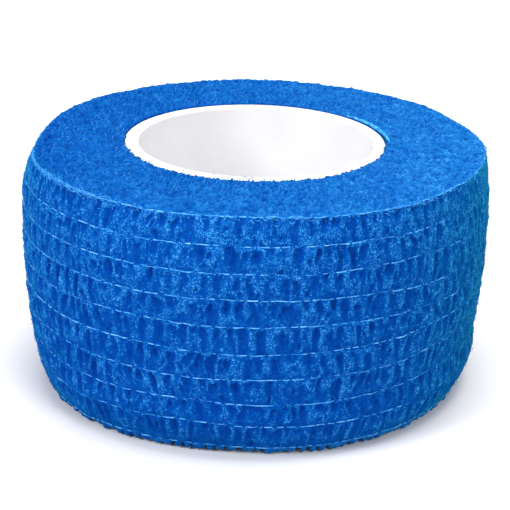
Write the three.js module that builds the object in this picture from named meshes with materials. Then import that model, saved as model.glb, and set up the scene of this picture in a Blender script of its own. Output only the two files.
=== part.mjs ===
import * as THREE from "three";

// Driving dimensions, in millimetres and degrees. The roll stands on its flat lower
// end. The origin is the middle of its outline on that end, and +Z is its winding axis.
const TAPE_WIDTH = 25;
const CORE_OUTER_RADIUS = 13.45;
const CORE_BORE_RADIUS = 12.2;
const CORE_RIM_ROUND = 0.3;
const CORE_RECESS = 0.1;
const SEAT_GAP = 0.3;

// The strip was wound a little off centre, so the core sits beside the middle of the outline.
const CORE_X = -0.44;
const CORE_Y = -0.27;

// Crimped strip: each elastic thread is drawn in, and the band between two threads swells.
const THREAD_GROOVE = 0.1;
const BAND_SWELL = 0.26;
const BAND_STEPS = 4;
const BAND_FULLNESS = 0.7;

// Edges of the wound strip: how far its ends turn over, outside and beside the core.
const OUTER_TURN_OVER = 0.35;
const INNER_TURN_OVER = 0.25;
const EDGE_ROUND_SHARE = 0.3;

// The elastic threads of the outermost turn, from the lower edge to the upper one:
// height above the lower end, and mean radius of the roll there.
const THREADS = [
  { height: 0.45, radius: 22.85 },
  { height: 3.9, radius: 23.85 },
  { height: 6.3, radius: 24.05 },
  { height: 9.05, radius: 24.4 },
  { height: 11.8, radius: 24.6 },
  { height: 14.55, radius: 24.7 },
  { height: 17.2, radius: 24.7 },
  { height: 19.8, radius: 24.65 },
  { height: 22.45, radius: 24.35 },
  { height: 24.75, radius: 23.75 },
];

// The outline seen from above is not quite round: waves in a turn, their height as a
// share of the radius, and the direction of a crest from +X.
const OUTLINE_WAVES = [
  { waves: 1, share: 0.011, direction: -90 },
  { waves: 2, share: 0.0218, direction: 70 },
  { waves: 3, share: 0.011, direction: 87 },
];

const ROLL_SEGMENTS = 90;
const CORE_SEGMENTS = 72;
const ROUND_STEPS = 1;

const bandageMaterial = new THREE.MeshStandardMaterial({
  color: 0x1564bd,
  roughness: 0.9,
  metalness: 0,
});

const coreMaterial = new THREE.MeshStandardMaterial({
  color: 0xf2f3f5,
  roughness: 0.35,
  metalness: 0,
});

// Radius of the uneven outline at an angle, for a mean radius.
function outlineRadius(radius, angle) {
  const stretch = OUTLINE_WAVES.reduce((sum, wave) => {
    const direction = THREE.MathUtils.degToRad(wave.direction);
    return sum + wave.share * Math.cos(wave.waves * (angle - direction));
  }, 1);
  return radius * stretch;
}

// A ring of the roll's outer skin, which follows the uneven outline.
function outerRing(radius, height) {
  return (angle) => {
    const reach = outlineRadius(radius, angle);
    return [reach * Math.cos(angle), reach * Math.sin(angle), height];
  };
}

// A ring of the roll's hole, round about the core.
function innerRing(radius, height) {
  return (angle) => [
    CORE_X + radius * Math.cos(angle),
    CORE_Y + radius * Math.sin(angle),
    height,
  ];
}

// The rings of one band, from its lower thread up to just below its upper thread.
function bandRings(lower, upper) {
  return Array.from({ length: BAND_STEPS }, (_, step) => {
    const along = step / BAND_STEPS;
    const swell = BAND_SWELL * Math.sin(Math.PI * along) ** BAND_FULLNESS;
    const radius = THREE.MathUtils.lerp(lower.radius, upper.radius, along);
    const height = THREE.MathUtils.lerp(lower.height, upper.height, along);
    return outerRing(radius - THREAD_GROOVE + swell, height);
  });
}

// All rings of the roll in order: up its side, over the upper end, down the hole.
function rollRings() {
  const bottom = THREADS[0];
  const top = THREADS[THREADS.length - 1];
  const holeRadius = CORE_OUTER_RADIUS + SEAT_GAP;
  const rings = [
    outerRing(bottom.radius - OUTER_TURN_OVER - THREAD_GROOVE, 0),
    outerRing(
      bottom.radius - THREAD_GROOVE - OUTER_TURN_OVER * EDGE_ROUND_SHARE,
      bottom.height * EDGE_ROUND_SHARE,
    ),
  ];
  THREADS.slice(1).forEach((upper, index) => {
    rings.push(...bandRings(THREADS[index], upper));
  });
  rings.push(
    outerRing(top.radius - THREAD_GROOVE, top.height),
    outerRing(top.radius - OUTER_TURN_OVER - THREAD_GROOVE, TAPE_WIDTH),
    innerRing(holeRadius + INNER_TURN_OVER, TAPE_WIDTH),
    innerRing(holeRadius, TAPE_WIDTH - INNER_TURN_OVER),
    innerRing(holeRadius, INNER_TURN_OVER),
    innerRing(holeRadius + INNER_TURN_OVER, 0),
  );
  return rings;
}

// A closed skin through rings that run once round the roll, the last joined to the first.
function skinThroughRings(rings, segments) {
  const positions = rings.flatMap((ring) =>
    Array.from({ length: segments }, (_, step) =>
      ring((2 * Math.PI * step) / segments),
    ).flat(),
  );
  const indices = [];
  for (let row = 0; row < rings.length; row += 1) {
    const nextRow = (row + 1) % rings.length;
    for (let step = 0; step < segments; step += 1) {
      const nextStep = (step + 1) % segments;
      const a = row * segments + step;
      const b = row * segments + nextStep;
      const c = nextRow * segments + nextStep;
      const d = nextRow * segments + step;
      indices.push(a, b, c, a, c, d);
    }
  }
  const geometry = new THREE.BufferGeometry();
  geometry.setAttribute("position", new THREE.Float32BufferAttribute(positions, 3));
  geometry.setIndex(indices);
  geometry.computeVertexNormals();
  return geometry;
}

// The wound strip of crimped bandage, one solid of its wound form.
function bandageRoll() {
  const roll = new THREE.Mesh(skinThroughRings(rollRings(), ROLL_SEGMENTS), bandageMaterial);
  roll.name = "bandage_roll";
  return roll;
}

// The plastic tube in the middle, with softly rounded rims.
function core() {
  const section = new THREE.Path();
  const inner = CORE_BORE_RADIUS;
  const outer = CORE_OUTER_RADIUS;
  const round = CORE_RIM_ROUND;
  section.moveTo(inner + round, CORE_RECESS);
  section.lineTo(outer - round, CORE_RECESS);
  section.absarc(outer - round, CORE_RECESS + round, round, -Math.PI / 2, 0);
  section.lineTo(outer, TAPE_WIDTH - round);
  section.absarc(outer - round, TAPE_WIDTH - round, round, 0, Math.PI / 2);
  section.lineTo(inner + round, TAPE_WIDTH);
  section.absarc(inner + round, TAPE_WIDTH - round, round, Math.PI / 2, Math.PI);
  section.lineTo(inner, CORE_RECESS + round);
  section.absarc(inner + round, CORE_RECESS + round, round, Math.PI, 1.5 * Math.PI);
  const tube = new THREE.LatheGeometry(section.getPoints(ROUND_STEPS), CORE_SEGMENTS);
  tube.rotateX(Math.PI / 2);
  const mesh = new THREE.Mesh(tube, coreMaterial);
  mesh.name = "core";
  mesh.position.set(CORE_X, CORE_Y, 0);
  return mesh;
}

const cohesiveBandageRoll = new THREE.Group();
cohesiveBandageRoll.add(bandageRoll(), core());

export default cohesiveBandageRoll;
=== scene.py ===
import math

import bpy
import numpy as np
from mathutils import Matrix, Vector


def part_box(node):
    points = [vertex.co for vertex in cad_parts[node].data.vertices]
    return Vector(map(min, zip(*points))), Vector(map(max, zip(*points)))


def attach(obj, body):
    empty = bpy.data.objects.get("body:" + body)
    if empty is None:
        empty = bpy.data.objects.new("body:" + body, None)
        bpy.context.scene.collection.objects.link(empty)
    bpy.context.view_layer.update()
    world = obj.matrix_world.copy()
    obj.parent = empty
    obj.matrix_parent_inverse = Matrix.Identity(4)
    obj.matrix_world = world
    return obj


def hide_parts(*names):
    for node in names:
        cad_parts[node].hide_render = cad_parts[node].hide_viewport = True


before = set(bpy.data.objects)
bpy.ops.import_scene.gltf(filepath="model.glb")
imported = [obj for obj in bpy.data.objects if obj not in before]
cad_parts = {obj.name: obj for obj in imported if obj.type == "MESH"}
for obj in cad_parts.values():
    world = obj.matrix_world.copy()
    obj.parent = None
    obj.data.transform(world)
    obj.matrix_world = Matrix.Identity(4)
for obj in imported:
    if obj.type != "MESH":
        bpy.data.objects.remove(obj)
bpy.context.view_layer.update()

# Sizes are in millimetres, and directions are in degrees from +X as seen from above, unless
# a comment says otherwise. Meshes are made in metres.
MM = 0.001
ROLL_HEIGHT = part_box("bandage_roll")[1].z / MM
core_low, core_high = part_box("core")

# The strip grips its core, so the tube here is a little wider than the CAD one and fills the
# gap round it. It also sits a little further back. Its bore is off its middle, so that its
# wall is thinner at the back right.
CORE_GRIP = 0.25
CORE_SHIFT_X = 0.05
CORE_SHIFT_Y = 0.2
CORE_X = (core_low.x + core_high.x) / 2 / MM + CORE_SHIFT_X
CORE_Y = (core_low.y + core_high.y) / 2 / MM + CORE_SHIFT_Y
CORE_OUTER = (core_high.x - core_low.x) / 2 / MM + CORE_GRIP
CORE_BORE = 12.3
BORE_SHIFT_X = 0.13
BORE_SHIFT_Y = 0.28
CORE_ROUND = 0.3
CORE_BOTTOM = core_low.z / MM
CORE_TOP = core_high.z / MM

# The elastic threads of the outermost turn, from the upper edge to the lower one.
THREADS = [
    {"height": 24.98, "radius": 23.75},
    {"height": 22.45, "radius": 24.35},
    {"height": 19.8, "radius": 24.65},
    {"height": 17.2, "radius": 24.7},
    {"height": 14.55, "radius": 24.7},
    {"height": 11.8, "radius": 24.6},
    {"height": 9.05, "radius": 24.4},
    {"height": 6.3, "radius": 24.05},
    {"height": 3.9, "radius": 23.85},
    {"height": 0.95, "radius": 22.75},
]
BANDS = len(THREADS) - 1

# The outline seen from above: waves in a turn, share of the radius, direction of a crest.
OUTLINE_WAVES = [
    {"waves": 1, "share": 0.011, "direction": -90},
    {"waves": 2, "share": 0.0218, "direction": 70},
    {"waves": 3, "share": 0.011, "direction": 87},
]

# Where a thread of the outermost turn wanders from its height: its number from the top,
# the direction in which it does so, how far to both sides in degrees, and the rise.
THREAD_LIFTS = [
    {"thread": 0, "direction": -143, "reach": 14, "rise": 0.22},
    {"thread": 0, "direction": -90, "reach": 9, "rise": 0.12},
    {"thread": 0, "direction": -50, "reach": 12, "rise": -0.15},
    {"thread": 1, "direction": -119, "reach": 9, "rise": -0.12},
    {"thread": 1, "direction": -51, "reach": 6, "rise": -0.2},
    {"thread": 1, "direction": -30, "reach": 9, "rise": -0.2},
    {"thread": 2, "direction": -90, "reach": 8, "rise": 0.14},
    {"thread": 2, "direction": -32, "reach": 10, "rise": -0.17},
    {"thread": 3, "direction": -90, "reach": 8, "rise": 0.17},
    {"thread": 3, "direction": -42, "reach": 14, "rise": -0.5},
    {"thread": 4, "direction": -35, "reach": 14, "rise": -0.18},
    {"thread": 5, "direction": -37, "reach": 18, "rise": 0.6},
    {"thread": 6, "direction": -37, "reach": 14, "rise": 0.75},
    {"thread": 7, "direction": -104, "reach": 8, "rise": 0.19},
    {"thread": 7, "direction": -34, "reach": 14, "rise": 0.5},
    {"thread": 8, "direction": -104, "reach": 9, "rise": 0.27},
    {"thread": 8, "direction": -37, "reach": 14, "rise": -0.32},
]

# Where the outline swells or narrows at the height of one thread only.
THREAD_BULGES = [
    {"thread": 0, "direction": 140, "reach": 22, "rise": 0.8},
    {"thread": 0, "direction": 34, "reach": 14, "rise": 0.3},
    {"thread": 0, "direction": 4, "reach": 16, "rise": 0.35},
    {"thread": 0, "direction": -178, "reach": 16, "rise": -0.6},
    {"thread": 5, "direction": 180, "reach": 22, "rise": -0.22},
    {"thread": 6, "direction": 180, "reach": 22, "rise": -0.35},
    {"thread": 7, "direction": 180, "reach": 20, "rise": -0.32},
    {"thread": 8, "direction": -172, "reach": 18, "rise": -0.42},
    {"thread": 8, "direction": -8, "reach": 18, "rise": 0.25},
    {"thread": 9, "direction": -99, "reach": 22, "rise": -0.5},
]

# Where cloth hides more of some threads: the first and the last one, and a share to add.
THREAD_COVERS = [
    {"first": 0, "last": 0, "direction": -12, "reach": 18, "share": 0.4},
    {"first": 6, "last": 8, "direction": -135, "reach": 22, "share": 0.28},
]

# A thread's radius, how far its middle stands out of the cloth, how far it dips where the
# cloth hides it, how far the cloth rises over it there, and how often about that happens.
THREAD_RADIUS = 0.06
THREAD_RISE = 0.035
THREAD_DIP = 0.17
COVER_HEIGHT = 0.07
COVER_PITCH = 1.25

# Rings that turn the outermost turn over at its upper rim.
UPPER_TURNS = [
    {"inset": 0.07, "rise": 0.05},
    {"inset": 0.19, "rise": 0.06},
    {"inset": 0.36, "rise": 0.03},
]

# Rings of the lobes below the last thread: how far inwards, and the share of the way down.
LOBE_PITCH = 0.95
LOWER_TURNS = [
    {"inset": 0.03, "fall": 0.3},
    {"inset": 0.05, "fall": 0.62},
    {"inset": 0.12, "fall": 0.88},
    {"inset": 0.26, "fall": 1.0},
    {"inset": 0.5, "fall": 0.99},
]

# Rings of the lip at the hole: how far each lies below the end, and the share of the tufts'
# reach over the core that it has.
LIP_RINGS = [
    {"fall": 0.0, "tuft": 1.0},
    {"fall": 0.14, "tuft": 0.35},
    {"fall": 0.4, "tuft": 0.0},
    {"fall": 0.9, "tuft": 0.0},
    {"fall": 1.8, "tuft": 0.0},
]

# The lower end lies this far above the floor, and no cloth is nearer to the floor than the
# clearance.
LOWER_FACE = 0.12
FLOOR_CLEARANCE = 0.01
# Painted shade: the cloth inside the hole is painted as dark as a crevice of this relief.
LIP_PAINTED_SHADE = -0.12

# The elastic has come loose along this side of the upper rim, where most of its fluff is.
FLUFFY_DIRECTION = -143
FLUFFY_SHARE = 0.6

# How many loose fibres, strands and hairs there are.
SIDE_FIBRES = 5600
END_FIBRES = 4500
HOLE_FIBRES = 250
RIM_STRANDS = 80
RIM_HAIRS = 700

# How finely the pieces are meshed, and the strips in which their surface pictures lie.
COLUMNS = 1200
ROWS_PER_BAND = 16
UPPER_END_ROWS = 74
LOWER_END_ROWS = 24
CORE_SEGMENTS = 256
FIBRE_POINTS = 4
MAP_STRIPS = 4

MEAN_RADIUS = 24.3
GIRTH = 2 * math.pi * MEAN_RADIUS
COLUMN_WIDTH = GIRTH / COLUMNS

random = np.random.default_rng(20417)

# The angle of each column in radians, and its place along the girth.
theta = 2 * np.pi * np.arange(COLUMNS) / COLUMNS
around = theta * MEAN_RADIUS


# Shape helpers

def outline(angle):
    """How much wider or narrower than round the roll is at an angle in radians."""
    share = np.ones_like(angle)
    for wave in OUTLINE_WAVES:
        share += wave["share"] * np.cos(wave["waves"] * (angle - math.radians(wave["direction"])))
    return share


def soft_noise(rows, row_spread, width):
    """Smooth random relief of unit spread that joins up with itself all round.

    Its lumps spread over some rows one way and a width in millimetres the other way."""
    spectrum = np.fft.rfft2(random.standard_normal((rows, COLUMNS)))
    row_rate = np.fft.fftfreq(rows)[:, None] * row_spread
    column_rate = np.fft.rfftfreq(COLUMNS)[None, :] * (width / COLUMN_WIDTH)
    spectrum *= np.exp(-2 * np.pi**2 * (row_rate**2 + column_rate**2))
    relief = np.fft.irfft2(spectrum, s=(rows, COLUMNS))
    return (relief - relief.mean()) / relief.std()


def soft_line(width):
    """Smooth random heights of unit spread all round, in lumps of a width."""
    return soft_noise(1, 0, width)[0]


def soft_step(value, start, end):
    """Rises smoothly from 0 at the start to 1 at the end."""
    share = np.clip((value - start) / (end - start), 0, 1)
    return share * share * (3 - 2 * share)


def through(values, places):
    """Smooth curves through evenly spaced rows of values, read at places between them."""
    before, after = 2 * values[:1] - values[1:2], 2 * values[-1:] - values[-2:-1]
    padded = np.concatenate([before, values, after])
    index = np.clip(np.floor(places).astype(int), 0, len(values) - 2)
    part = (places - index)[:, None]
    a, b, c, d = (padded[index + step] for step in range(4))
    return 0.5 * (
        2 * b + (c - a) * part
        + (2 * a - 5 * b + 4 * c - d) * part**2
        + (3 * b - a - 3 * c + d) * part**3
    )


def turned_by(direction, angle=theta):
    """Degrees from a direction to each angle in radians, the short way round."""
    return (np.degrees(angle) - direction + 180) % 360 - 180


def near(direction, reach):
    """1 in a direction, fading smoothly on both sides of it; the reach is in degrees."""
    return np.exp(-((turned_by(direction) / reach) ** 2))


def stretch(direction, start, full, fading, end):
    """1 along a stretch of the girth with soft ends, given in degrees from a direction."""
    away = turned_by(direction)
    return soft_step(away, start, full) * (1 - soft_step(away, fading, end))


def local_rise(unevenness):
    """The rise of one row of a table of uneven places, all round."""
    return unevenness["rise"] * near(unevenness["direction"], unevenness["reach"])


def apart(position, places):
    """Distance along the girth from a position to each place, the short way round."""
    return (places - position + GIRTH / 2) % GIRTH - GIRTH / 2


def spread_positions(pitch, unevenness):
    """Positions along the girth about a pitch apart."""
    count = round(GIRTH / pitch)
    steps = pitch * (1 + unevenness * random.uniform(-1, 1, count))
    return np.cumsum(steps) * GIRTH / steps.sum()


def ring_points(radius, height, x=0.0, y=0.0):
    """Points at a radius and height in each direction about a middle."""
    return np.stack([
        x + radius * np.cos(theta), y + radius * np.sin(theta),
        np.broadcast_to(height, radius.shape),
    ], -1)


def column_at(angle):
    """The column nearest to each angle."""
    return np.round(angle / (2 * np.pi) * COLUMNS).astype(int) % COLUMNS


def level_directions(angle):
    """Unit directions that point level at each angle."""
    return np.stack([np.cos(angle), np.sin(angle), np.zeros(len(angle))], -1)


# Mesh helpers

def new_object(name, vertices, faces, material):
    """A smooth mesh object of one material, from vertices in millimetres."""
    mesh = bpy.data.meshes.new(name)
    mesh.from_pydata(vertices * MM, [], faces)
    mesh.shade_smooth()
    mesh.materials.append(material)
    made = bpy.data.objects.new(name, mesh)
    bpy.context.collection.objects.link(made)
    return made


def ring_faces(rows, columns):
    """Quads between rings that each close on themselves."""
    row, column = np.meshgrid(np.arange(rows - 1), np.arange(columns), indexing="ij")
    after = (column + 1) % columns
    corners = [row * columns + column, row * columns + after,
               (row + 1) * columns + after, (row + 1) * columns + column]
    return np.stack(corners, -1).reshape(-1, 4)


def strip_map(made, rows):
    """Lays the rings out in a few strips, one above the other, for a surface picture."""
    row, column = np.meshgrid(np.arange(rows - 1), np.arange(COLUMNS), indexing="ij")
    per_strip = COLUMNS // MAP_STRIPS
    strip = column // per_strip
    along = (column % per_strip) / per_strip
    step = 1 / per_strip
    margin = 0.02
    low = (strip + margin + (1 - 2 * margin) * row / (rows - 1)) / MAP_STRIPS
    high = (strip + margin + (1 - 2 * margin) * (row + 1) / (rows - 1)) / MAP_STRIPS
    corners = np.stack([
        np.stack([along, low], -1), np.stack([along + step, low], -1),
        np.stack([along + step, high], -1), np.stack([along, high], -1),
    ], 2)
    layer = made.data.uv_layers.new(name="OFBake")
    layer.uv.foreach_set("vector", corners.astype(np.float32).ravel())


def cell_map(made, cells, sides, length):
    """Gives each of many alike tubes its own cell of a surface picture."""
    mesh = made.data
    across = math.ceil(math.sqrt(cells))
    per_cell = len(mesh.vertices) // cells
    vertex = np.empty(len(mesh.loops), np.int32)
    mesh.loops.foreach_get("vertex_index", vertex)
    cell, inside = vertex // per_cell, vertex % per_cell
    u = (cell % across + 0.1 + 0.8 * (inside // sides) / (length - 1)) / across
    v = (cell // across + 0.1 + 0.8 * (inside % sides) / (sides - 1)) / across
    layer = mesh.uv_layers.new(name="OFBake")
    layer.uv.foreach_set("vector", np.stack([u, v], -1).astype(np.float32).ravel())


def give_attribute(made, name, values):
    """Keeps one number for each vertex, which a material can read."""
    layer = made.data.attributes.new(name, "FLOAT", "POINT")
    layer.data.foreach_set("value", np.asarray(values, np.float32).ravel())


def finish_piece(made, node):
    """Puts a piece on the root body and hides the CAD node that it stands in for."""
    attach(made, "root")
    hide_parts(node)


def ring_piece(name, rings, relief, material):
    """A piece of the cloth from rings round the roll, with its relief for the material."""
    made = new_object(name, rings.reshape(-1, 3), ring_faces(len(rings), COLUMNS), material)
    give_attribute(made, "relief", relief)
    strip_map(made, len(rings))
    finish_piece(made, "bandage_roll")


def tube_along(paths, radii, sides, closed):
    """Tubes of a few sides along paths, all of the same number of points."""
    count, length, _ = paths.shape
    if closed:
        ahead, behind = np.roll(paths, -1, 1), np.roll(paths, 1, 1)
    else:
        ahead = np.concatenate([paths[:, 1:], paths[:, -1:]], 1)
        behind = np.concatenate([paths[:, :1], paths[:, :-1]], 1)
    along = ahead - behind
    along /= np.linalg.norm(along, axis=2, keepdims=True)
    nearly_up = [0.03, 0.02, 1.0]
    side = np.cross(along, nearly_up)
    side /= np.linalg.norm(side, axis=2, keepdims=True)
    over = np.cross(side, along)
    turn = 2 * np.pi * np.arange(sides) / sides
    spokes = side[:, :, None] * np.cos(turn)[:, None] + over[:, :, None] * np.sin(turn)[:, None]
    vertices = paths[:, :, None] + radii[:, :, None, None] * spokes

    lengthwise = np.arange(length if closed else length - 1)
    tube, step, spoke = np.meshgrid(np.arange(count), lengthwise, np.arange(sides), indexing="ij")
    next_step, next_spoke = (step + 1) % length, (spoke + 1) % sides
    base = tube * length
    faces = np.stack([
        (base + step) * sides + spoke, (base + next_step) * sides + spoke,
        (base + next_step) * sides + next_spoke, (base + step) * sides + next_spoke,
    ], -1).reshape(-1, 4).tolist()
    if not closed:
        starts = (np.arange(count) * length * sides)[:, None]
        faces += (starts + np.arange(sides)[::-1]).tolist()
        faces += (starts + (length - 1) * sides + np.arange(sides)).tolist()
    return vertices.reshape(-1, 3), faces


def tube_piece(name, paths, radii, sides, material, closed=False):
    """A piece of the cloth from thin tubes; closed ones join up with themselves."""
    vertices, faces = tube_along(paths, radii, sides, closed)
    made = new_object(name, vertices, faces, material)
    cell_map(made, len(paths), sides, paths.shape[1])
    finish_piece(made, "bandage_roll")
    return made


# Crimped side of the outermost turn

def band_rows():
    """Places of the rings down the side: whole numbers are threads, the top one is 0."""
    part = np.arange(ROWS_PER_BAND) / ROWS_PER_BAND
    part = part - 0.05 * np.sin(2 * np.pi * part)
    places = (np.arange(BANDS)[:, None] + part[None, :]).ravel()
    return np.append(places, BANDS)


def bands_at(places):
    """The number of the band at each place, and how far down that band the place is."""
    band = np.minimum(places.astype(int), BANDS - 1)
    return band, places - band


def thread_heights():
    """Height of each thread all round, with the wander of a real one."""
    heights = np.empty((len(THREADS), COLUMNS))
    for number, thread in enumerate(THREADS):
        heights[number] = thread["height"] + 0.05 * soft_line(3.5) + 0.02 * soft_line(0.7)
    for lift in THREAD_LIFTS:
        heights[lift["thread"]] += local_rise(lift)
    return heights


def thread_radii():
    """Radius of the roll at each thread all round."""
    radii = np.array([thread["radius"] for thread in THREADS])[:, None] * outline(theta)
    for bulge in THREAD_BULGES:
        radii[bulge["thread"]] += local_rise(bulge)
    return radii


def thread_gaps():
    """How far the cloth hides each thread all round, from about 0 in the open to 1."""
    hidden = np.zeros((len(THREADS), COLUMNS))
    for number in range(len(THREADS)):
        for position in spread_positions(COVER_PITCH, 0.55):
            width = random.uniform(0.08, 0.3)
            cover = np.exp(-((apart(position, around) / width) ** 2))
            hidden[number] = np.maximum(hidden[number], cover * random.uniform(0.35, 1.1))
        hidden[number] += 0.16 * np.clip(soft_line(0.9), -1, 1.5)
    away = turned_by(-10)
    lost_on_right = soft_step(away, -46, -4) * (away < 60)
    hidden[1:BANDS] += 0.75 * lost_on_right
    for cover in THREAD_COVERS:
        covered = slice(cover["first"], cover["last"] + 1)
        hidden[covered] += cover["share"] * near(cover["direction"], cover["reach"])
    fuzzy = stretch(-148, -60, -8, 8, 26)
    fuzz = 0.35 * fuzzy * np.clip(0.9 + 0.5 * soft_line(0.4), 0, 1.4)
    hidden[0] = np.maximum(hidden[0], fuzz)
    return hidden


def askew_lean(position):
    """The pleats of the uppermost band hang askew on the left of the photographed side."""
    away = turned_by(-112, position / MEAN_RADIUS)
    return -0.8 * math.exp(-((away / 14) ** 2))


# A hollow's centre and its reach above and below are shares of the height of its band.

def long_hollow():
    """A hollow that hangs from the thread above it."""
    return {
        "half_width": random.uniform(0.27, 0.48),
        "centre": random.uniform(0.14, 0.3),
        "above": 0.17,
        "below": random.choice([0.3, 0.5, 0.7, 0.95], p=[0.2, 0.3, 0.3, 0.2]),
        "lean": random.normal(0, 0.32),
        "depth": random.uniform(0.12, 0.27),
    }


def narrow_hollow():
    """A narrower hollow in the upper half of a band."""
    return {
        "half_width": random.uniform(0.13, 0.24),
        "centre": random.uniform(0.16, 0.5),
        "above": random.uniform(0.14, 0.22),
        "below": random.uniform(0.15, 0.4),
        "lean": random.normal(0, 0.4),
        "depth": random.uniform(0.05, 0.2),
    }


def low_hollow():
    """A short hollow in the lower half of a band."""
    return {
        "half_width": random.uniform(0.13, 0.3),
        "centre": random.uniform(0.5, 0.85),
        "above": random.uniform(0.08, 0.18),
        "below": random.uniform(0.08, 0.14),
        "lean": random.normal(0, 0.4),
        "depth": random.uniform(0.06, 0.2),
    }


# How far apart the hollows of a kind are, and how they differ in the uppermost band: the share
# of its askew lean and the share of their depth that they have there.
HOLLOWS = [
    {"make": long_hollow, "pitch": 1.38, "unevenness": 0.35, "askew": 1, "top_depth": 0.8},
    {"make": narrow_hollow, "pitch": 1.6, "unevenness": 0.5, "askew": 1, "top_depth": 1},
    {"make": low_hollow, "pitch": 1.6, "unevenness": 0.85, "askew": 0, "top_depth": 1},
]


def pucker_relief(places):
    """How far the crimped cloth stands out of its smooth form, and how deep its pits are."""
    band, part = bands_at(places)
    pits = np.zeros((len(places), COLUMNS))
    rims = np.zeros((len(places), COLUMNS))
    sway = 0.1 * soft_noise(len(places), 2.2, 0.3)
    dip = 0.07 * soft_noise(len(places), 2.2, 0.25)
    for number in range(BANDS):
        rows = np.flatnonzero(band == number)
        area = {"pits": pits, "rims": rims, "rows": rows, "down": part[rows][:, None],
                "sway": sway, "dip": dip}
        for kind in HOLLOWS:
            for position in spread_positions(kind["pitch"], kind["unevenness"]):
                pit = kind["make"]()
                if number == 0:
                    pit["lean"] += kind["askew"] * askew_lean(position)
                    pit["depth"] *= kind["top_depth"]
                press_pit(area, position, pit)
    fullness = crimp_fullness(places)
    return rims * fullness, pits * fullness


def crimp_fullness(places):
    """The cloth is less puckered on the far right, on the far left and in the lowest bands."""
    fullness = 1 - 0.52 * near(-10, 38) - 0.35 * near(182, 26)
    return fullness * (1 - 0.14 * soft_step(places, 5.5, 8))[:, None]


def press_pit(area, position, pit):
    """Presses one hollow with a raised rim into the relief of a band."""
    offset = apart(position, around)
    widest = 1.6
    where = np.ix_(area["rows"], np.flatnonzero(np.abs(offset) < widest))
    down = area["down"] + area["dip"][where]
    shift = pit["lean"] * (down - pit["centre"]) + area["sway"][where]
    across = (offset[where[1][0]][None, :] - shift) / pit["half_width"]
    length = np.where(down < pit["centre"], pit["above"], pit["below"])
    along = (down - pit["centre"]) / length
    boxiness = 2.6
    reach = (np.abs(across) ** boxiness + np.abs(along) ** boxiness) ** (1 / boxiness)
    fades_below = 1 - 0.55 * soft_step(along, 0, 1)
    hollow = pit["depth"] * np.exp(-(reach**2.8)) * fades_below
    open_below = 1 - 0.8 * soft_step(along, 0.3, 1)
    rim = 0.42 * pit["depth"] * np.exp(-(((reach - 1.32) / 0.3) ** 2)) * open_below
    area["pits"][where] = np.maximum(area["pits"][where], hollow)
    area["rims"][where] = np.maximum(area["rims"][where], rim)


def side_surface(places, heights, hidden):
    """Radius and height of the crimped side at each ring and column, and its relief for the
    material, with painted light added towards the top.
    """
    band, part = bands_at(places)
    part = part[:, None]
    height = (1 - part) * heights[band] + part * heights[band + 1]
    smooth = through(thread_radii(), places)
    smooth = smooth + 0.06 * soft_noise(len(places), 14, 5)

    free = np.sin(np.pi * part) ** 0.45
    swell = 0.13 * np.sin(np.pi * part**0.8) ** 0.8 - 0.04
    at_upper = np.exp(-((part / 0.07) ** 2))
    at_lower = np.exp(-(((1 - part) / 0.07) ** 2))
    over_thread = at_upper * hidden[band] + at_lower * hidden[band + 1]
    rims, pits = pucker_relief(places)
    pleats = 0.035 * soft_noise(len(places), 2.6, 0.22) * free
    crumple = 0.024 * soft_noise(len(places), 0.8, 0.11)
    edge = soft_step(part, 0, 0.06)
    relief = swell + edge * (rims - pits) + pleats + crumple + COVER_HEIGHT * over_thread
    # Painted light: the colour gets paler towards the top of the side, where more light falls.
    painted_light_above = 0.07 * (height / ROLL_HEIGHT - 0.5)
    return smooth + relief, height, relief - swell * 0.6 + painted_light_above


def side_pieces(radius, height, relief, material):
    """The crimped side in three lengths that meet at thread lines."""
    lengths = [("side_upper", 0, 3), ("side_middle", 3, 6), ("side_lower", 6, BANDS)]
    for name, start, end in lengths:
        rows = np.arange(end * ROWS_PER_BAND, start * ROWS_PER_BAND - 1, -1)
        ring_piece(name, ring_points(radius[rows], height[rows]), relief[rows], material)


# Ends of the roll, where the edges of all turns show

def hole_radius():
    """The hole fits the core closely, but for a thin gap on the far right."""
    loose = stretch(25, -32, -14, 16, 34)
    return CORE_OUTER + 0.04 + 0.2 * loose, loose


def felt_relief(rows):
    """The ends of many crimped turns side by side: grains with crevices between them, which the
    material paints dark as shade.
    """
    row_pitch = (MEAN_RADIUS - CORE_OUTER) / rows
    grain = soft_noise(rows, 0.75, 0.75 * row_pitch)
    clumps = soft_noise(rows, 2.2, 2.2 * row_pitch)
    crevices = soft_noise(rows, 0.8, 0.8 * row_pitch)
    return 0.075 * grain + 0.035 * clumps - 0.16 * np.maximum(crevices - 0.7, 0)


def end_face(start, hole, face_height, upward, rows):
    """Rings across an end of the roll, from a turned edge to the hole, and their relief."""
    share = np.linspace(0, 1, rows)[:, None]
    rim = ring_points(hole, face_height, CORE_X, CORE_Y)
    x, y = ((1 - share) * start[:, axis] + share * rim[:, axis] for axis in (0, 1))
    relief = felt_relief(rows)
    turns = 0.008 * soft_noise(rows, 1.6, 9)
    waves = 0.05 * soft_noise(rows, 12, 3)
    level = face_height + (start[:, 2] - face_height) * (1 - soft_step(share, 0, 0.06))
    fade = 0.35 + 0.65 * soft_step(share, 0, 0.04)
    z = level + upward * (relief + turns + waves) * fade
    return np.stack([x, y, z], -1), relief


def hole_lip(edge_height, hole, loose, face_height, upward):
    """Rings a little way down the hole, with tufts over the core but along the gap."""
    tufts = np.maximum(soft_line(0.2) + 0.1, 0) * (1 - loose)
    overlap = np.minimum(0.15 * tufts, 0.3)
    over_core = face_height * upward + 0.05 * (overlap > 0.01)
    height = np.maximum(edge_height * upward, over_core) * upward
    return np.array([
        ring_points(hole - ring["tuft"] * overlap, height - upward * ring["fall"], CORE_X, CORE_Y)
        for ring in LIP_RINGS
    ])


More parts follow.
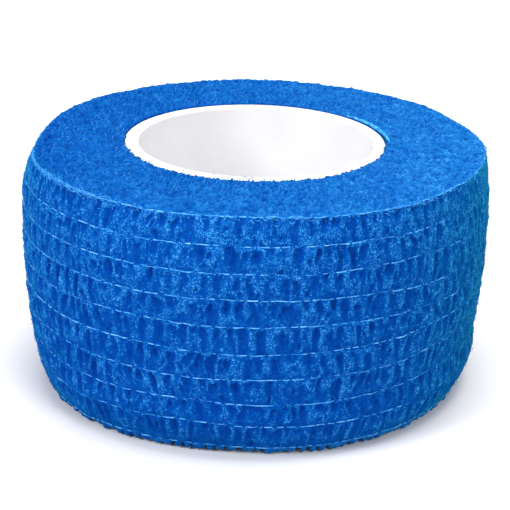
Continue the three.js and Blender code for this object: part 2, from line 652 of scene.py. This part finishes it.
def end_surface(edge, face_height, upward, rows):
    """Rings from the outer edge across an end of the roll and a little way down its hole."""
    hole, loose = hole_radius()
    face, relief = end_face(edge[-1], hole, face_height, upward, rows)
    lip = hole_lip(face[-1, :, 2], hole, loose, face_height, upward)
    rings = np.concatenate([edge[:-1], face[:-1], lip])
    rings[:, :, 2] = np.maximum(rings[:, :, 2], FLOOR_CLEARANCE)
    edge_relief = np.zeros((len(edge) - 1, COLUMNS))
    # The lip down the hole gets painted shade.
    lip_painted_shade = np.full((len(lip), COLUMNS), LIP_PAINTED_SHADE)
    return rings, np.concatenate([edge_relief, relief[:-1], lip_painted_shade])


def upper_edge(rim_radius, rim_height):
    """Rings that turn the outermost turn over at its upper rim."""
    ragged = 0.05 * soft_noise(len(UPPER_TURNS) + 1, 0.6, 0.16)
    turned = [ring_points(rim_radius, rim_height)]
    for turn, uneven in zip(UPPER_TURNS, ragged):
        turned.append(ring_points(rim_radius - turn["inset"], rim_height + turn["rise"] + uneven))
    return np.array(turned)


def lower_edge(rim_radius, rim_height):
    """Rings of the rounded lobes in which the outermost turn ends below its last thread."""
    lobe = lower_lobes()
    lift = 0.04 + 0.5 * (1 - lobe) + 0.08 * near(-97, 16)
    ragged = 0.04 * soft_noise(len(LOWER_TURNS) + 1, 0.7, 0.14)
    turned = [ring_points(rim_radius, rim_height)]
    for turn, uneven in zip(LOWER_TURNS, ragged):
        drawn_in = turn["fall"] * (0.16 + 0.22 * (1 - lobe))
        inwards = turn["inset"] + drawn_in - uneven - 0.06 * lobe
        height = rim_height + turn["fall"] * (lift - rim_height)
        turned.append(ring_points(rim_radius - inwards, height))
    return np.array(turned)


def lower_lobes():
    """Shares from 0 to 1 all round, near 1 where a lobe of the lower edge hangs down."""
    lobes = np.zeros(COLUMNS)
    for position in spread_positions(LOBE_PITCH, 0.5):
        width = random.uniform(0.28, 0.62)
        lobe = np.clip(1 - (apart(position, around) / width) ** 2, 0, 1) ** 0.5
        lobes = np.maximum(lobes, lobe * random.uniform(0.6, 1.0))
    return lobes


# Threads and fibres

def thread_paths(radius, hidden, heights):
    """Where each elastic thread runs: on the cloth, but under it in the gaps of its dashes."""
    paths, radii = [], []
    for number in range(len(THREADS)):
        row = number * ROWS_PER_BAND
        uncovered = radius[row] - COVER_HEIGHT * hidden[number]
        reach = uncovered + THREAD_RISE - THREAD_DIP * hidden[number]
        arch = 0.02 * soft_line(0.35)
        paths.append(ring_points(reach, heights[number] + arch))
        thickness = 1 - 0.55 * np.clip(hidden[number], 0, 1)
        radii.append((THREAD_RADIUS + 0.006 * soft_line(1.5)) * thickness)
    return np.array(paths), np.array(radii)


def fibres(name, roots, outward, sideways, upright, material):
    """Short stray fibres on the cloth, thin curled rods; upright says how far they stand."""
    amount = len(roots)
    steps = np.linspace(0, 1, FIBRE_POINTS)
    spin = random.uniform(0, 2 * np.pi, amount)[:, None]
    length = np.minimum(random.gamma(2.5, 0.08, amount), 0.42)[:, None] + 0.08
    heading = spin + random.normal(0, 2.2, amount)[:, None] * steps
    stride = length / (FIBRE_POINTS - 1)
    ahead = np.cumsum(stride * np.cos(heading), 1)[:, :, None]
    beside = np.cumsum(stride * np.sin(heading), 1)[:, :, None]
    stand = random.uniform(0.0, 0.12, amount)[:, None] + upright * length
    lift = (0.02 + stand * np.sin(0.8 * np.pi * steps))[:, :, None]
    outward, sideways = outward[:, None], sideways[:, None]
    crosswise = np.cross(outward, sideways)
    paths = roots[:, None] + ahead * sideways + beside * crosswise + lift * outward
    taper = np.sin(np.pi * (0.15 + 0.75 * steps))
    radii = random.uniform(0.018, 0.034, amount)[:, None] * taper
    sides = 3
    made = tube_piece(name, paths, radii, sides, material)
    tones = random.uniform(0, 1, amount)
    give_attribute(made, "tone", np.repeat(tones, sides * FIBRE_POINTS))


def side_fibres(amount, radius, height, relief, material):
    """Fibres on the crimped side, more of them on its crests."""
    spare = amount * 3
    rows = random.integers(1, radius.shape[0] - 1, spare)
    columns = random.integers(0, COLUMNS, spare)
    crest = relief[rows, columns] + random.normal(0, 0.12, spare)
    keep = np.argsort(-crest)[:amount]
    rows, columns = rows[keep], columns[keep]
    outward = level_directions(theta[columns])
    roots = outward * radius[rows, columns][:, None]
    roots[:, 2] = height[rows, columns]
    upwards = np.tile([0.0, 0.0, 1.0], (amount, 1))
    fibres("side_fibres", roots, outward, upwards, 0.1, material)


def end_fibres(amount, rings, material):
    """Fibres on the upper end, some of them over the edge of the hole."""
    first_lip_row = len(rings) - len(LIP_RINGS)
    rows = random.integers(2, first_lip_row, amount)
    rows[:HOLE_FIBRES] = first_lip_row - 1
    columns = random.integers(0, COLUMNS, amount)
    outward = np.tile([0.0, 0.0, 1.0], (amount, 1))
    sideways = level_directions(random.uniform(0, 2 * np.pi, amount))
    fibres("upper_end_fibres", rings[rows, columns], outward, sideways, 0.7, material)


def rim_strands(amount, radius, heights, material):
    """Fine loose filaments that wander along the upper rim, most of them on its left."""
    length = 40
    steps = np.linspace(0, 1, length)
    paths = np.empty((amount, length, 3))
    for number in range(amount):
        on_left = number < amount * FLUFFY_SHARE
        middle = random.normal(FLUFFY_DIRECTION, 13) if on_left else random.uniform(-175, 0)
        span = random.uniform(2, 9)
        angle = np.radians(np.linspace(middle - span / 2, middle + span / 2, length))
        column = column_at(angle)
        waves = random.uniform(0.8, 1.8) * span
        zigzag = random.uniform(0.05, 0.2) * np.sin(steps * waves + random.uniform(0, 6))
        drift = random.uniform(-0.32, 0.12) + random.uniform(-0.3, 0.3) * (steps - 0.5)
        reach = radius[0][column] + 0.05 + 0.05 * np.sin(steps * 9 + number)
        rise = heights[0][column] + drift + zigzag
        paths[number] = np.stack([reach * np.cos(angle), reach * np.sin(angle), rise], -1)
    taper = np.sin(np.pi * (0.08 + 0.84 * steps))
    radii = random.uniform(0.012, 0.03, amount)[:, None] * taper
    tube_piece("rim_strands", paths, radii, 4, material)


def rim_fuzz(amount, radius, heights, material):
    """Short curled hairs of the covered elastic along the upper rim, most of them on its left."""
    on_left = random.uniform(0, 1, amount) < FLUFFY_SHARE
    angle = np.radians(random.normal(np.where(on_left, FLUFFY_DIRECTION, -60),
                                     np.where(on_left, 16, 45)))
    column = column_at(angle)
    outward = level_directions(angle)
    roots = outward * (radius[0][column] + 0.02)[:, None]
    roots[:, 2] = heights[0][column] + random.normal(-0.05, 0.08, amount)
    sideways = np.stack([-np.sin(angle), np.cos(angle), np.zeros(amount)], -1)
    fibres("rim_fuzz", roots, outward, sideways, 0.1, material)


def inner_edge_strand(material):
    """The pale edge of the innermost turn, which shows beside the gap at the core."""
    length = 160
    angle = np.radians(np.linspace(0, 44, length))
    hole = CORE_OUTER + 0.38 + 0.02 * np.sin(angle * 40)
    height = ROLL_HEIGHT + 0.05 + 0.02 * np.sin(angle * 57)
    path = np.stack([CORE_X + hole * np.cos(angle), CORE_Y + hole * np.sin(angle), height], -1)
    taper = np.sin(np.pi * (0.05 + 0.9 * np.linspace(0, 1, length))) ** 0.5
    tube_piece("inner_turn_edge", path[None], 0.2 * taper[None], 6, material)


# The core

def core_section():
    """Points round the tube's section, as radius and height, with its four edges rounded."""
    quarter = np.radians(np.linspace(0, 90, 7))
    rising, falling = CORE_ROUND * np.sin(quarter), CORE_ROUND * np.cos(quarter)
    outer, inner = CORE_OUTER - CORE_ROUND, CORE_BORE + CORE_ROUND
    bottom, top = CORE_BOTTOM + CORE_ROUND, CORE_TOP - CORE_ROUND
    corners = [
        (outer + rising, bottom - falling), (outer + falling, top + rising),
        (inner - rising, top + falling), (inner - falling, bottom - rising),
    ]
    return np.concatenate([np.stack(corner, -1) for corner in corners])


def core_tube(material):
    """The white plastic tube on which the strip is wound."""
    section = core_section()
    radius, height = section[:, :1], section[:, 1:]
    angle = 2 * np.pi * np.arange(CORE_SEGMENTS) / CORE_SEGMENTS
    inward = (CORE_OUTER - radius) / (CORE_OUTER - CORE_BORE)
    rings = np.stack([
        CORE_X + BORE_SHIFT_X * inward + radius * np.cos(angle),
        CORE_Y + BORE_SHIFT_Y * inward + radius * np.sin(angle),
        np.repeat(height, CORE_SEGMENTS, 1),
    ], -1)
    faces = ring_faces(len(section) + 1, CORE_SEGMENTS) % (len(section) * CORE_SEGMENTS)
    made = new_object("core_tube", rings.reshape(-1, 3), faces, material)
    finish_piece(made, "core")


# Material helpers: scales are per metre, and bump distances are in metres

def principled(name, colour, roughness, specular=0.5):
    """A plain material and its shader."""
    material = bpy.data.materials.new(name)
    material.use_nodes = True
    shader = material.node_tree.nodes["Principled BSDF"]
    shader.inputs["Base Color"].default_value = (*colour, 1)
    shader.inputs["Roughness"].default_value = roughness
    shader.inputs["Specular IOR Level"].default_value = specular
    return material, shader


def add_place(tree, vector):
    """Feeds a texture the place in the object's own space."""
    place = tree.nodes.new("ShaderNodeTexCoord")
    tree.links.new(place.outputs["Object"], vector)


def add_noise(tree, scale, detail, distortion=0.0):
    """A noise texture in the object's own space."""
    noise = tree.nodes.new("ShaderNodeTexNoise")
    noise.inputs["Scale"].default_value = scale
    noise.inputs["Detail"].default_value = detail
    noise.inputs["Distortion"].default_value = distortion
    add_place(tree, noise.inputs["Vector"])
    return noise.outputs["Fac"]


def add_axes(tree):
    """The place in the object's own space, as outputs named X, Y and Z."""
    axes = tree.nodes.new("ShaderNodeSeparateXYZ")
    add_place(tree, axes.inputs["Vector"])
    return axes.outputs


def add_ramp(tree, value, stops):
    """A colour for a value, from stops of position and colour."""
    ramp = tree.nodes.new("ShaderNodeValToRGB")
    elements = ramp.color_ramp.elements
    while len(elements) < len(stops):
        elements.new(0.5)
    for element, (position, colour) in zip(elements, stops):
        element.position = position
        element.color = (*colour, 1)
    tree.links.new(value, ramp.inputs["Fac"])
    return ramp.outputs["Color"]


def add_scaled(tree, value, factor, added):
    """value * factor + added, where added is a number or another value."""
    node = tree.nodes.new("ShaderNodeMath")
    node.operation = "MULTIPLY_ADD"
    node.inputs[1].default_value = factor
    tree.links.new(value, node.inputs[0])
    if isinstance(added, (int, float)):
        node.inputs[2].default_value = added
    else:
        tree.links.new(added, node.inputs[2])
    return node.outputs["Value"]


def add_product(tree, first, second):
    """One value times another."""
    product = tree.nodes.new("ShaderNodeMath")
    product.operation = "MULTIPLY"
    tree.links.new(first, product.inputs[0])
    tree.links.new(second, product.inputs[1])
    return product.outputs["Value"]


def add_smooth_step(tree, value, start, end):
    """Turns a value into 0 at the start, 1 at the end and smoothly between."""
    step = tree.nodes.new("ShaderNodeMapRange")
    step.interpolation_type = "SMOOTHSTEP"
    step.inputs["From Min"].default_value = start
    step.inputs["From Max"].default_value = end
    tree.links.new(value, step.inputs["Value"])
    return step.outputs["Result"]


def add_fibre_glints(tree, scale):
    """Small bright dots, partly pale fibres and partly painted glints where a fibre faces the
    light.
    """
    cells = tree.nodes.new("ShaderNodeTexVoronoi")
    cells.inputs["Scale"].default_value = scale
    add_place(tree, cells.inputs["Vector"])
    return add_smooth_step(tree, cells.outputs["Distance"], 0.38, 0.14)


def add_curls(tree, scale):
    """Thin curling lines of fibre, which follow the middle level of a twisted noise."""
    level = add_scaled(tree, add_noise(tree, scale, 1, 1.2), 1.0, -0.5)
    away = tree.nodes.new("ShaderNodeMath")
    away.operation = "ABSOLUTE"
    tree.links.new(level, away.inputs[0])
    return add_smooth_step(tree, away.outputs["Value"], 0.045, 0.01)


def add_painted_shade_on_right(tree, colour):
    """Painted shade: the colour turns a little darker and greener towards +X, the side of the
    roll that gets less light.
    """
    tint = tree.nodes.new("ShaderNodeMix")
    tint.data_type = "RGBA"
    tint.blend_type = "MULTIPLY"
    share = add_smooth_step(tree, add_axes(tree)["X"], 0.009, 0.025)
    tree.links.new(share, tint.inputs["Factor"])
    tree.links.new(colour, tint.inputs["A"])
    tint.inputs["B"].default_value = (0.7, 1.0, 0.8, 1)
    return tint.outputs["Result"]


def add_bump(tree, shader, height, distance, strength):
    """Fine relief that only the light shows."""
    bump = tree.nodes.new("ShaderNodeBump")
    bump.inputs["Strength"].default_value = strength
    bump.inputs["Distance"].default_value = distance
    tree.links.new(height, bump.inputs["Height"])
    tree.links.new(bump.outputs["Normal"], shader.inputs["Normal"])


# Materials

GRAIN_SCALE = 7500


def nonwoven(name):
    """The matt, faintly sheeny ground of both fabric materials, and the relief they read for
    painted shade in hollows and painted light on crests.
    """
    material, shader = principled(name, (0.0012, 0.06, 0.33), 0.9, specular=0.01)
    shader.inputs["Sheen Weight"].default_value = 0.5
    shader.inputs["Sheen Roughness"].default_value = 0.3
    shader.inputs["Sheen Tint"].default_value = (0.0, 0.45, 0.1, 1)
    relief = material.node_tree.nodes.new("ShaderNodeAttribute")
    relief.attribute_name = "relief"
    return material, shader, relief.outputs["Fac"]


def turn_edge_material():
    """The strip's own edges side by side: a felt of cut fibres, with painted shade in its
    crevices and painted light that makes it paler towards +X and the front.
    """
    material, shader, relief = nonwoven("turn_edges")
    tree = material.node_tree
    axes = add_axes(tree)
    grain = add_noise(tree, GRAIN_SCALE, 2, 0.6)
    # Painted shade from the relief, and painted light towards +X and the front.
    tone = add_scaled(tree, relief, 1.2, -0.194)
    tone = add_scaled(tree, axes["X"], 5.6, tone)
    tone = add_scaled(tree, axes["Y"], -0.8, tone)
    tone = add_scaled(tree, grain, 0.65, tone)
    tone = add_scaled(tree, add_noise(tree, 2300, 2, 0.4), 0.4, tone)
    tone = add_scaled(tree, add_noise(tree, 500, 3, 0.3), 0.3, tone)
    colour = add_ramp(tree, tone, [
        (0.12, (0.001, 0.034, 0.24)),
        (0.45, (0.0035, 0.079, 0.355)),
        (0.72, (0.012, 0.15, 0.46)),
        (1.0, (0.05, 0.3, 0.68)),
    ])
    tree.links.new(colour, shader.inputs["Base Color"])
    add_bump(tree, shader, grain, 0.00005, 0.6)
    return material


def fabric_material():
    """Royal blue nonwoven mottled by its fibres, with painted shade in its pits, painted light on
    its crests and painted glints.
    """
    material, shader, relief = nonwoven("crimped_bandage")
    tree = material.node_tree
    grain = add_noise(tree, GRAIN_SCALE, 2, 0.6)
    # Painted light and shade from the relief: crests are painted paler and gather most curls and
    # glints, pits are painted darker.
    patches = add_scaled(tree, add_noise(tree, 2000, 2), 0.75, 0.125)
    crest = add_scaled(tree, relief, 2.6, patches)
    clusters = add_smooth_step(tree, crest, 0.4, 0.62)
    tone = add_scaled(tree, relief, 1.0, -0.18)
    tone = add_scaled(tree, grain, 0.75, tone)
    tone = add_scaled(tree, add_noise(tree, 2600, 2, 0.4), 0.3, tone)
    tone = add_scaled(tree, add_noise(tree, 900, 3, 0.3), 0.22, tone)
    tone = add_scaled(tree, add_product(tree, clusters, add_curls(tree, 1900)), 0.3, tone)
    tone = add_scaled(tree, add_product(tree, clusters, add_fibre_glints(tree, 4800)), 0.4, tone)
    colour = add_ramp(tree, tone, [
        (0.12, (0.0004, 0.02, 0.2)),
        (0.5, (0.0012, 0.06, 0.33)),
        (0.72, (0.004, 0.12, 0.45)),
        (1.0, (0.05, 0.3, 0.68)),
    ])
    tree.links.new(add_painted_shade_on_right(tree, colour), shader.inputs["Base Color"])
    add_bump(tree, shader, grain, 0.00007, 0.7)
    return material


def thread_material():
    """Pale blue covered elastic."""
    material, shader = principled("elastic_thread", (0.06, 0.33, 0.75), 0.6, specular=0.0)
    tree = material.node_tree
    colour = add_ramp(tree, add_noise(tree, 1400, 3), [
        (0.3, (0.012, 0.18, 0.56)),
        (0.5, (0.06, 0.34, 0.8)),
        (0.68, (0.2, 0.56, 1.0)),
    ])
    tree.links.new(colour, shader.inputs["Base Color"])
    add_bump(tree, shader, add_noise(tree, 9000, 2), 0.00003, 0.5)
    return material


def fibre_material():
    """Single fibres of the nonwoven, some deep blue and some pale."""
    material, shader = principled("stray_fibre", (0.05, 0.3, 0.7), 0.7, specular=0.0)
    tree = material.node_tree
    tone = tree.nodes.new("ShaderNodeAttribute")
    tone.attribute_name = "tone"
    value = add_scaled(tree, tone.outputs["Fac"], 1.0, -0.15)
    value = add_scaled(tree, add_noise(tree, 3000, 1), 0.3, value)
    colour = add_ramp(tree, value, [
        (0.1, (0.002, 0.09, 0.42)),
        (0.6, (0.012, 0.17, 0.6)),
        (0.95, (0.07, 0.34, 0.85)),
    ])
    tree.links.new(colour, shader.inputs["Base Color"])
    return material


def fluff_material():
    """Pale hairs of the covered elastic, and the pale edge of the innermost turn."""
    material, shader = principled("elastic_fluff", (0.05, 0.32, 0.8), 0.8, specular=0.0)
    tree = material.node_tree
    colour = add_ramp(tree, add_noise(tree, 1800, 2), [
        (0.35, (0.03, 0.27, 0.75)),
        (0.65, (0.1, 0.48, 1.0)),
    ])
    tree.links.new(colour, shader.inputs["Base Color"])
    return material


def core_material():
    """Smooth white plastic with the faintest unevenness."""
    material, shader = principled("core_plastic", (0.86, 0.87, 0.89), 0.35)
    tree = material.node_tree
    colour = add_ramp(tree, add_noise(tree, 260, 5), [
        (0.3, (0.785, 0.78, 0.81)),
        (0.7, (0.825, 0.82, 0.85)),
    ])
    tree.links.new(colour, shader.inputs["Base Color"])
    add_bump(tree, shader, add_noise(tree, 900, 3), 0.00002, 0.3)
    return material


# Floor, light and camera

# The floor and the lights are in metres; the camera's distance and target in millimetres.
FLOOR_SIZE = 3
FLOOR_DEPTH = 0.00002
WORLD_STRENGTH = 0.42

LIGHTS = [
    {"name": "overhead_light", "place": (0.1, 0.0, 1.2), "size": 0.8, "watts": 14.0,
     "colour": (1, 1, 1)},
    {"name": "left_light", "place": (-1.05, -0.62, 0.85), "size": 0.6, "watts": 15.0,
     "colour": (1, 1, 1)},
    {"name": "right_light", "place": (0.7, -0.9, 0.8), "size": 0.6, "watts": 7.0,
     "colour": (1, 1, 0.94)},
]

PHOTO_WIDTH = 510
FOCAL_PIXELS = 1550
CAMERA_DISTANCE = 166.85
CAMERA_ELEVATION = math.radians(21.317)
CAMERA_ROLL = math.radians(1.427)
CAMERA_TARGET = Vector((-0.09, -0.27, 12.15))


def pale_floor():
    """The ground on which the roll stands."""
    bpy.ops.mesh.primitive_plane_add(size=FLOOR_SIZE, location=(0, 0, -FLOOR_DEPTH))
    floor = bpy.context.object
    floor.name = "floor"
    floor.data.materials.append(principled("pale_floor", (0.8, 0.8, 0.8), 0.8)[0])


def soft_light(name, place, size, watts, colour):
    """A round softbox that faces the roll."""
    lamp = bpy.data.lights.new(name, "AREA")
    lamp.shape = "DISK"
    lamp.size = size
    lamp.energy = watts
    lamp.color = colour
    made = bpy.data.objects.new(name, lamp)
    made.location = place
    made.rotation_euler = Vector(place).to_track_quat("Z", "Y").to_euler()
    bpy.context.collection.objects.link(made)


def white_world():
    """Even white light from all round."""
    world = bpy.data.worlds.new("studio")
    world.use_nodes = True
    background = world.node_tree.nodes["Background"]
    background.inputs["Color"].default_value = (1, 1, 1, 1)
    background.inputs["Strength"].default_value = WORLD_STRENGTH
    bpy.context.scene.world = world


def photo_camera():
    """A camera with the photo's view, from -Y and a little above."""
    camera_data = bpy.data.cameras.new("camera")
    camera_data.sensor_width = 36
    camera_data.lens = camera_data.sensor_width * FOCAL_PIXELS / PHOTO_WIDTH
    camera_data.clip_start = 0.01
    camera = bpy.data.objects.new("camera", camera_data)
    bpy.context.collection.objects.link(camera)
    backward = Vector((0, -math.cos(CAMERA_ELEVATION), math.sin(CAMERA_ELEVATION)))
    level_right = Vector((1, 0, 0))
    level_up = backward.cross(level_right)
    right = math.cos(CAMERA_ROLL) * level_right + math.sin(CAMERA_ROLL) * level_up
    up = backward.cross(right)
    turned = Matrix((right, up, backward)).transposed().to_4x4()
    place = (CAMERA_TARGET + CAMERA_DISTANCE * backward) * MM
    camera.matrix_world = Matrix.Translation(place) @ turned
    return camera


# The roll

fabric = fabric_material()
felt = turn_edge_material()
elastic = thread_material()
fibre = fibre_material()
fluff = fluff_material()

heights = thread_heights()
hidden = thread_gaps()
radius, height, relief = side_surface(band_rows(), heights, hidden)
side_pieces(radius, height, relief, fabric)

upper = upper_edge(radius[0], height[0])
upper_rings, upper_relief = end_surface(upper, ROLL_HEIGHT, 1, UPPER_END_ROWS)
ring_piece("upper_end", upper_rings, upper_relief, felt)
lower = lower_edge(radius[-1], height[-1])
lower_rings, lower_relief = end_surface(lower, LOWER_FACE, -1, LOWER_END_ROWS)
ring_piece("lower_end", lower_rings[::-1], lower_relief[::-1], felt)

paths, radii = thread_paths(radius, hidden, heights)
tube_piece("elastic_threads", paths, radii, 4, elastic, closed=True)
rim_strands(RIM_STRANDS, radius, heights, fluff)
rim_fuzz(RIM_HAIRS, radius, heights, fluff)
inner_edge_strand(fluff)
side_fibres(SIDE_FIBRES, radius, height, relief, fibre)
end_fibres(END_FIBRES, upper_rings, fibre)
core_tube(core_material())

# Its surroundings

pale_floor()
for light in LIGHTS:
    soft_light(**light)
white_world()
bpy.context.scene.view_settings.view_transform = "Standard"
bpy.context.scene.camera = photo_camera()
